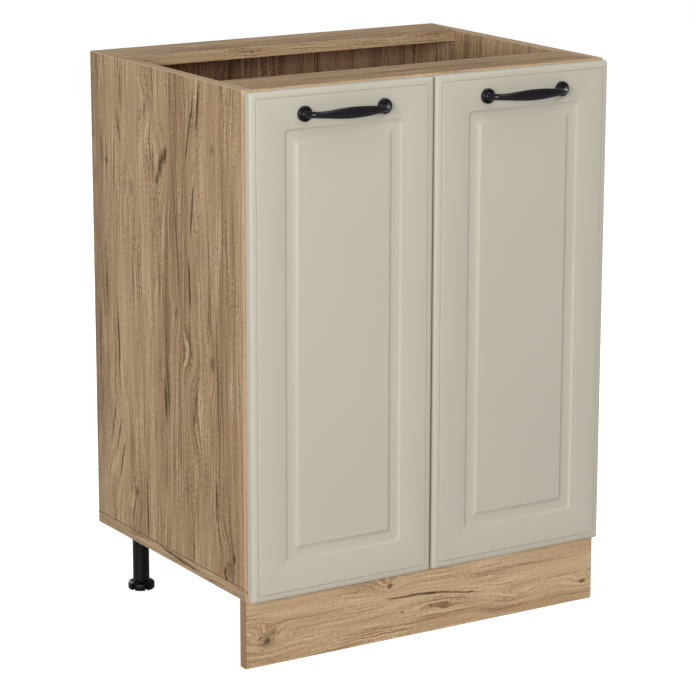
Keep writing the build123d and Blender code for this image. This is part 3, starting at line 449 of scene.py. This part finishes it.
for side, sign in (("left", -1), ("right", 1)):
    low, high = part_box("door_" + side)
    mesh = bmesh.new()
    rings = [(inset * mm, low.y + depth * mm, radius * mm) for inset, depth, radius in door_section]
    start = rings[0]
    # a circle, turned by half a step so that its quarters are alike, moves out to the door's corners
    upright = Matrix.Rotation(math.radians(90), 4, "X")
    turned = upright @ Matrix.Rotation(math.pi / corner_steps, 4, "Z")
    circle = bmesh.ops.create_circle(mesh, segments=corner_steps, radius=start[2], matrix=turned)["verts"]
    door_middle = Vector((low.x + high.x, 0, low.z + high.z)) / 2
    for vertex in circle:
        vertex.co += corner_middle(door_middle + vertex.co, low, high, start[0], start[2])
        vertex.co.y = start[1]
    rim = list({edge for vertex in circle for edge in vertex.link_edges})
    ring = rim
    for old, new in zip(rings, rings[1:]):
        ring = next_ring(mesh, ring, low, high, old, new)
    bmesh.ops.edgeloop_fill(mesh, edges=ring)
    bores = []
    for height in bore_heights:
        bore_mouth = Matrix.Translation((sign * bore_place * mm, high.y, height * mm)) @ upright
        ring = bmesh.ops.create_circle(mesh, segments=48, radius=bore_radius * mm, matrix=bore_mouth)
        bores.append(list({edge for vertex in ring["verts"] for edge in vertex.link_edges}))
    back = bmesh.ops.triangle_fill(mesh, use_beauty=True, edges=rim + bores[0] + bores[1])["geom"]
    for item in back:
        if isinstance(item, bmesh.types.BMFace):
            item.material_index = 1
    for bore in bores:
        wall = bmesh.ops.extrude_edge_only(mesh, edges=bore)["geom"]
        ground = [item for item in wall if isinstance(item, bmesh.types.BMVert)]
        bmesh.ops.translate(mesh, vec=(0, -bore_depth * mm, 0), verts=ground)
        ground = [item for item in wall if isinstance(item, bmesh.types.BMEdge)
                  and all(abs(end.co.y - (high.y - bore_depth * mm)) < 0.001 * mm for end in item.verts)]
        bmesh.ops.edgeloop_fill(mesh, edges=ground)
    bmesh.ops.recalc_face_normals(mesh, faces=mesh.faces)
    door = show("routed_door_" + side, mesh, (door_film, door_back_laminate), "door_panel_" + side,
                ("door_" + side,), smooth=32.0)


# ---- Bow handles
# Cast zinc, sprayed satin black: two domed feet with a turned ring, round necks and a broad leaf-shaped
# blade. Two screws from inside the door hold each handle, 128 mm apart.

# the paint is near black and satin, a little glossier where hands rub it, over a fine cast skin 1 mm wide
black_metal, tree, surface = new_material("satin_black_sprayed_zinc")
place = add(tree, "ShaderNodeTexCoord").outputs["Object"]
cast = add(tree, "ShaderNodeTexNoise", {"Vector": place, "Scale": 900.0, "Detail": 2.0})
rub = add(tree, "ShaderNodeTexNoise", {"Vector": place, "Scale": 60.0, "Detail": 4.0})
colour = add(tree, "ShaderNodeMix", {
    "Factor": rub.outputs["Fac"], "A": linear("#0f0d10"), "B": linear("#1b181c"),
}, data_type="RGBA")
bump = add(tree, "ShaderNodeBump", {"Height": cast.outputs["Fac"], "Strength": 0.05, "Distance": 0.2 * mm})
gloss = add(tree, "ShaderNodeMapRange", {0: rub.outputs["Fac"], 3: 0.2, 4: 0.34})
tree.links.new(colour.outputs["Result"], surface.inputs["Base Color"])
tree.links.new(bump.outputs[0], surface.inputs["Normal"])
tree.links.new(gloss.outputs[0], surface.inputs["Roughness"])
surface.inputs["Specular IOR Level"].default_value = 0.35

# the blade from the left foot to its middle, in mm: x, reach from the door, height, thickness
half_spacing = 64
half_blade = ((half_spacing, 1.5, 12.5, 11.5), (63.6, 7.0, 11.0, 10.4), (62.2, 12.5, 9.8, 9.0),
              (58.4, 18.0, 9.3, 8.0), (51, 21.8, 9.6, 7.2), (42, 24.0, 11.0, 6.6), (30, 25.3, 13.6, 6.4),
              (15, 25.8, 16.0, 6.5), (0, 25.9, 17.0, 6.6))
blade = half_blade + tuple((-x, reach, height, thick) for x, reach, height, thick in half_blade[-2::-1])
last = len(blade) - 1
# a foot's turned outline, in mm: radius and height from the door
foot_outline = ((0, 8.4), (3.0, 8.1), (5.0, 7.1), (6.2, 5.7), (6.7, 4.4), (7.2, 3.9), (7.8, 4.1), (8.6, 4.8),
                (9.4, 5.0), (10.2, 4.6), (10.8, 3.6), (11.0, 2.2), (11.0, 0.0), (0, 0.0))

for side in ("left", "right"):
    low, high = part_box("handle_" + side)
    centre = Vector(((low.x + high.x) / 2, high.y, (low.z + high.z) / 2))
    mesh = bmesh.new()
    rings = []
    for i, (x, reach, height, thick) in enumerate(blade):
        ahead, behind = blade[min(i + 1, last)], blade[max(i - 1, 0)]
        heading = math.atan2(ahead[1] - behind[1], behind[0] - ahead[0])
        if i in (0, last):
            heading = math.radians(90 if i == 0 else -90)
        lie = (Matrix.Translation(centre + Vector((x, -reach, 0)) * mm) @ Matrix.Rotation(heading, 4, "Z")
               @ Matrix.Rotation(math.radians(90), 4, "Y")
               @ Matrix.Diagonal((height / 2 * mm, thick / 2 * mm, 1, 1)))
        ring = bmesh.ops.create_circle(mesh, segments=12, radius=1.0, matrix=lie, cap_ends=i in (0, last))
        rings.append(list({edge for vertex in ring["verts"] for edge in vertex.link_edges}))
    for one, other in zip(rings, rings[1:]):
        bmesh.ops.bridge_loops(mesh, edges=one + other)
    bmesh.ops.recalc_face_normals(mesh, faces=mesh.faces)
    grip = show("bow_grip_" + side, mesh, (black_metal,), "door_panel_" + side, smooth=180.0)
    rounder = grip.modifiers.new("rounded", "SUBSURF")
    rounder.levels = rounder.render_levels = 2
    mesh = bmesh.new()
    for x in (-half_spacing * mm, half_spacing * mm):
        points = [mesh.verts.new(centre + Vector((x + radius * mm, -height * mm, 0)))
                  for radius, height in foot_outline]
        edges = [mesh.edges.new(pair) for pair in zip(points, points[1:])]
        bmesh.ops.spin(mesh, geom=points + edges, cent=centre + Vector((x, 0, 0)), axis=(0, 1, 0),
                       angle=math.tau, steps=40, use_merge=True)
    bmesh.ops.remove_doubles(mesh, verts=mesh.verts, dist=0.01 * mm)
    bmesh.ops.recalc_face_normals(mesh, faces=mesh.faces)
    feet = show("turned_handle_feet_" + side, mesh, (black_metal,), "door_panel_" + side,
                ("handle_" + side,), smooth=50.0)


# ---- Screw feet behind
# Black polypropylene: a flanged socket screwed under the bottom panel, a tube pushed into it, and a foot on
# a stem that screws into the tube. The foot has six lobes to turn it by and a domed top.

# moulded plastic is nearly black, with a fine grit 0.7 mm wide and a soft sheen
black_plastic, tree, surface = new_material("moulded_black_polypropylene")
place = add(tree, "ShaderNodeTexCoord").outputs["Object"]
grit = add(tree, "ShaderNodeTexNoise", {"Vector": place, "Scale": 1500.0, "Detail": 2.0})
flow = add(tree, "ShaderNodeTexNoise", {"Vector": place, "Scale": 40.0, "Detail": 3.0})
colour = add(tree, "ShaderNodeMix", {
    "Factor": flow.outputs["Fac"], "A": linear("#070707"), "B": linear("#0e0e0e"),
}, data_type="RGBA")
bump = add(tree, "ShaderNodeBump", {"Height": grit.outputs["Fac"], "Strength": 0.2, "Distance": 0.2 * mm})
tree.links.new(colour.outputs["Result"], surface.inputs["Base Color"])
tree.links.new(bump.outputs[0], surface.inputs["Normal"])
surface.inputs["Roughness"].default_value = 0.4
surface.inputs["Specular IOR Level"].default_value = 0.32


def soften_edges(piece, width):
    """Rounds a piece's sharp edges by a width in mm, as they leave the mould."""
    edge = piece.modifiers.new("softened", "BEVEL")
    edge.width = width * mm
    edge.segments = 2
    edge.limit_method = "ANGLE"
    edge.angle_limit = math.radians(50)
    edge.harden_normals = True


def moulded_copy(node, body):
    """The CAD piece again in black plastic, with its triangles joined and its edges softened."""
    mesh = bmesh.new()
    mesh.from_mesh(nodes[node].data)
    bmesh.ops.remove_doubles(mesh, verts=mesh.verts, dist=0.002 * mm)
    bmesh.ops.dissolve_limit(mesh, angle_limit=math.radians(1.0), verts=mesh.verts, edges=mesh.edges)
    piece = show(node + "_finished", mesh, (black_plastic,), body, (node,), smooth=35.0)
    soften_edges(piece, 0.5)
    return piece


# a sixth of the foot's outline, from the middle of one slot: turn in degrees and distance from the axis
# in mm. The first slot stands where the photograph shows it
lobe_outline = ((0, 13.6), (9.3, 14.0), (6.4, 20.0), (18, 20.0), (30, 20.0), (42, 20.0), (53.6, 20.0),
                (50.7, 14.0))
lobe_count, first_slot = 6, 25.5
# the foot's domed side from the floor up, in mm: height, and how far the lobes draw in. The slots' ground,
# which lies within 17 mm of the axis, draws in by less than a third of that
foot_side = ((0.0, 0.9), (0.3, 0.3), (1.0, 0.0), (8.4, 0.0), (9.7, 0.5), (10.7, 1.7), (11.3, 3.6),
             (11.7, 5.8), (12.0, 8.0))
ground_reach, ground_share = 17, 0.3
stem_radius, stem_foot, stem_top = 9.95, 11.0, 56.0

for side in ("left", "right"):
    for node in ("leg_socket_", "leg_tube_"):
        moulded_copy(node + side, "carcass")
    low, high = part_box("leg_foot_" + side)
    axis = Vector(((low.x + high.x) / 2, (low.y + high.y) / 2, 0))
    mesh = bmesh.new()
    around = [(math.radians(first_slot + 360 / lobe_count * lobe + turn), reach)
              for lobe in range(lobe_count) for turn, reach in lobe_outline]
    ring = bmesh.ops.create_circle(mesh, segments=len(around), radius=1.0)["verts"]
    rim = list({edge for vertex in ring for edge in vertex.link_edges})
    lowest = rim
    for height, draw in foot_side:
        for vertex, (turn, reach) in zip(ring, around):
            out = reach - draw * (1.0 if reach > ground_reach else ground_share)
            vertex.co = axis + Vector((out * math.cos(turn), out * math.sin(turn), height)) * mm
        if height < foot_side[-1][0]:
            grown = bmesh.ops.extrude_edge_only(mesh, edges=rim)["geom"]
            ring = [next(edge.other_vert(vertex) for edge in vertex.link_edges
                         if edge.other_vert(vertex) in grown) for vertex in ring]
            rim = [item for item in grown if isinstance(item, bmesh.types.BMEdge)]
    for loop in (lowest, rim):
        bmesh.ops.edgeloop_fill(mesh, edges=loop)
    stem_middle = Matrix.Translation(axis + Vector((0, 0, (stem_top + stem_foot) / 2 * mm)))
    bmesh.ops.create_cone(mesh, cap_ends=True, segments=48, radius1=stem_radius * mm,
                          radius2=stem_radius * mm, depth=(stem_top - stem_foot) * mm, matrix=stem_middle)
    bmesh.ops.recalc_face_normals(mesh, faces=mesh.faces)
    foot = show("lobed_screw_foot_" + side, mesh, (black_plastic,), "foot_" + side, ("leg_foot_" + side,),
                smooth=35.0)
    soften_edges(foot, 0.6)


# ---- Hinges and screws
# Stamped steel, nickel plated: bright, slightly grey, with fine rolling marks that streak its shine. Screws,
# nails and shelf pins are plated the same way.

plated_steel, tree, surface = new_material("nickel_plated_steel")
place = add(tree, "ShaderNodeTexCoord").outputs["Object"]
stretch = add(tree, "ShaderNodeMapping", {"Vector": place, "Scale": (300.0, 60.0, 1800.0)})
rolling = add(tree, "ShaderNodeTexNoise", {"Vector": stretch.outputs[0], "Scale": 1.0, "Detail": 3.0})
gloss = add(tree, "ShaderNodeMapRange", {0: rolling.outputs["Fac"], 3: 0.2, 4: 0.38})
tree.links.new(gloss.outputs[0], surface.inputs["Roughness"])
surface.inputs["Base Color"].default_value = linear("#c3c0ba")
surface.inputs["Metallic"].default_value = 1.0
steel = ["back_nails", "carcass_screws", "hinge_arm_pins", "hinge_clamp_screws", "hinge_plate_screws",
         "leg_socket_screws", "plinth_bracket_screws", "shelf_pins"]
for side in ("left", "right"):
    steel += ["handle_screws_" + side, "hinge_cup_pins_" + side, "hinge_cup_screws_" + side]
    for level in ("lower", "upper"):
        steel += ["hinge_%s_%s_%s" % (part, level, side) for part in ("arm", "cup", "link", "plate")]
for name in steel:
    finish_node(name, plated_steel)


# ---- Plinth brackets
# Small corner brackets moulded in brown polypropylene, even in colour with a soft sheen. One screw goes up
# into the bottom panel and one into the plinth board.

brown_plastic, tree, surface = new_material("moulded_brown_polypropylene")
place = add(tree, "ShaderNodeTexCoord").outputs["Object"]
flow = add(tree, "ShaderNodeTexNoise", {"Vector": place, "Scale": 90.0, "Detail": 3.0})
colour = add(tree, "ShaderNodeMix", {
    "Factor": flow.outputs["Fac"], "A": linear("#4a3222"), "B": linear("#57402d"),
}, data_type="RGBA")
tree.links.new(colour.outputs["Result"], surface.inputs["Base Color"])
surface.inputs["Roughness"].default_value = 0.4
finish_node("plinth_brackets", brown_plastic)


# ---- Dowels
# Beech pegs glued between the rails and the sides. Plain beech is pale, with short dark flecks along the
# peg, 8 mm long and 1 mm wide.

beech, tree, surface = new_material("plain_beech")
place = add(tree, "ShaderNodeTexCoord").outputs["Object"]
stretch = add(tree, "ShaderNodeMapping", {"Vector": place, "Scale": (120.0, 900.0, 900.0)})
flecks = add(tree, "ShaderNodeTexNoise", {"Vector": stretch.outputs[0], "Scale": 1.0, "Detail": 3.0})
colour = add(tree, "ShaderNodeMix", {
    "Factor": flecks.outputs["Fac"], "A": linear("#b98f66"), "B": linear("#d9b48a"),
}, data_type="RGBA")
tree.links.new(colour.outputs["Result"], surface.inputs["Base Color"])
surface.inputs["Roughness"].default_value = 0.6
finish_node("rail_dowels", beech)


# ---- Door buffers
# Soft dots of clear polyurethane, cast and stuck to the doors' backs, which quiet the closing. They are
# glossy and let some light through.

clear_buffer, tree, surface = new_material("clear_polyurethane")
place = add(tree, "ShaderNodeTexCoord").outputs["Object"]
flow = add(tree, "ShaderNodeTexNoise", {"Vector": place, "Scale": 300.0, "Detail": 2.0})
gloss = add(tree, "ShaderNodeMapRange", {0: flow.outputs["Fac"], 3: 0.15, 4: 0.3})
tree.links.new(gloss.outputs[0], surface.inputs["Roughness"])
surface.inputs["Base Color"].default_value = linear("#e8e6e0")
surface.inputs["Transmission Weight"].default_value = 0.6
surface.inputs["IOR"].default_value = 1.49
for side in ("left", "right"):
    finish_node("door_buffers_" + side, clear_buffer)


# ---- Studio
# A plain white floor and backdrop, a soft key light from the front left, four weaker soft lights in front,
# above, to the right and behind, and a camera where the photograph was taken from.

floor_mesh = bmesh.new()
bmesh.ops.create_grid(floor_mesh, x_segments=1, y_segments=1, size=30.0)
floor_data = bpy.data.meshes.new("studio_floor")
floor_mesh.to_mesh(floor_data)
floor_mesh.free()
floor = bpy.data.objects.new("studio_floor", floor_data)
bpy.context.scene.collection.objects.link(floor)
floor_paint, tree, surface = new_material("matt_white_floor")
white = (1.0, 1.0, 1.0, 1.0)
surface.inputs["Base Color"].default_value = linear("#c4c4c4")
surface.inputs["Roughness"].default_value = 0.9
surface.inputs["Emission Color"].default_value = white
surface.inputs["Emission Strength"].default_value = 0.85
floor_data.materials.append(floor_paint)
# the floor's glow keeps it white and lights nothing else
glow = bpy.data.collections.new("lit_by_the_floor")
glow.objects.link(floor)
floor.light_linking.receiver_collection = glow

# the backdrop is white to the camera and dimmer as light on the cabinet
world = bpy.data.worlds.new("studio")
bpy.context.scene.world = world
world.use_nodes = True
tree = world.node_tree
tree.nodes.clear()
dim = add(tree, "ShaderNodeBackground", {"Color": white, "Strength": 0.25})
backdrop = add(tree, "ShaderNodeBackground", {"Color": white, "Strength": 1.0})
seen = add(tree, "ShaderNodeLightPath").outputs["Is Camera Ray"]
both = add(tree, "ShaderNodeMixShader", {0: seen, 1: dim.outputs[0], 2: backdrop.outputs[0]})
add(tree, "ShaderNodeOutputWorld", {"Surface": both.outputs[0]})


def lamp(name, place, aim, size, power):
    """A square soft light that looks at a point, in metres and watts."""
    data = bpy.data.lights.new(name, "AREA")
    data.size = size
    data.energy = power
    made = bpy.data.objects.new(name, data)
    made.location = place
    made.rotation_euler = (Vector(aim) - Vector(place)).to_track_quat("-Z", "Y").to_euler()
    bpy.context.scene.collection.objects.link(made)


lamp("key", (-3.45, -3.15, 1.5), (0, 0, 0.4), 1.3, 118.0)
lamp("front_fill", (0.2, -3.8, 0.9), (0, 0, 0.2), 2.0, 4.0)
lamp("top", (0.3, -1.9, 3.3), (0, 0, 0.4), 1.9, 31.0)
lamp("right_side", (3.8, 0.2, 1.6), (0.3, 0, 0.4), 1.6, 52.0)
lamp("rear", (-0.6, 3.9, 1.8), (0, 0.2, 0.4), 1.8, 75.0)

# the camera was fitted to the cabinet's corners in the photograph, whose frame is 696 pixels wide
frame_pixels, focal_pixels, sensor_width = 696, 2892.7, 36.0
heading, fall, roll = math.radians(31.93), math.radians(13.85), math.radians(-0.11)
camera_data = bpy.data.cameras.new("camera")
camera_data.sensor_width = sensor_width
camera_data.lens = focal_pixels / frame_pixels * sensor_width
camera_data.clip_end = 100.0
camera = bpy.data.objects.new("camera", camera_data)
camera.location = (-2.2092, -3.534, 1.412)
camera.rotation_euler = (Matrix.Rotation(-heading, 3, "Z") @ Matrix.Rotation(math.radians(90) - fall, 3, "X")
                         @ Matrix.Rotation(-roll, 3, "Z")).to_euler()
bpy.context.scene.collection.objects.link(camera)
bpy.context.scene.camera = camera
bpy.context.scene.view_settings.view_transform = "Standard"
bpy.context.scene.view_settings.look = "None"

bpy.context.view_layer.update()
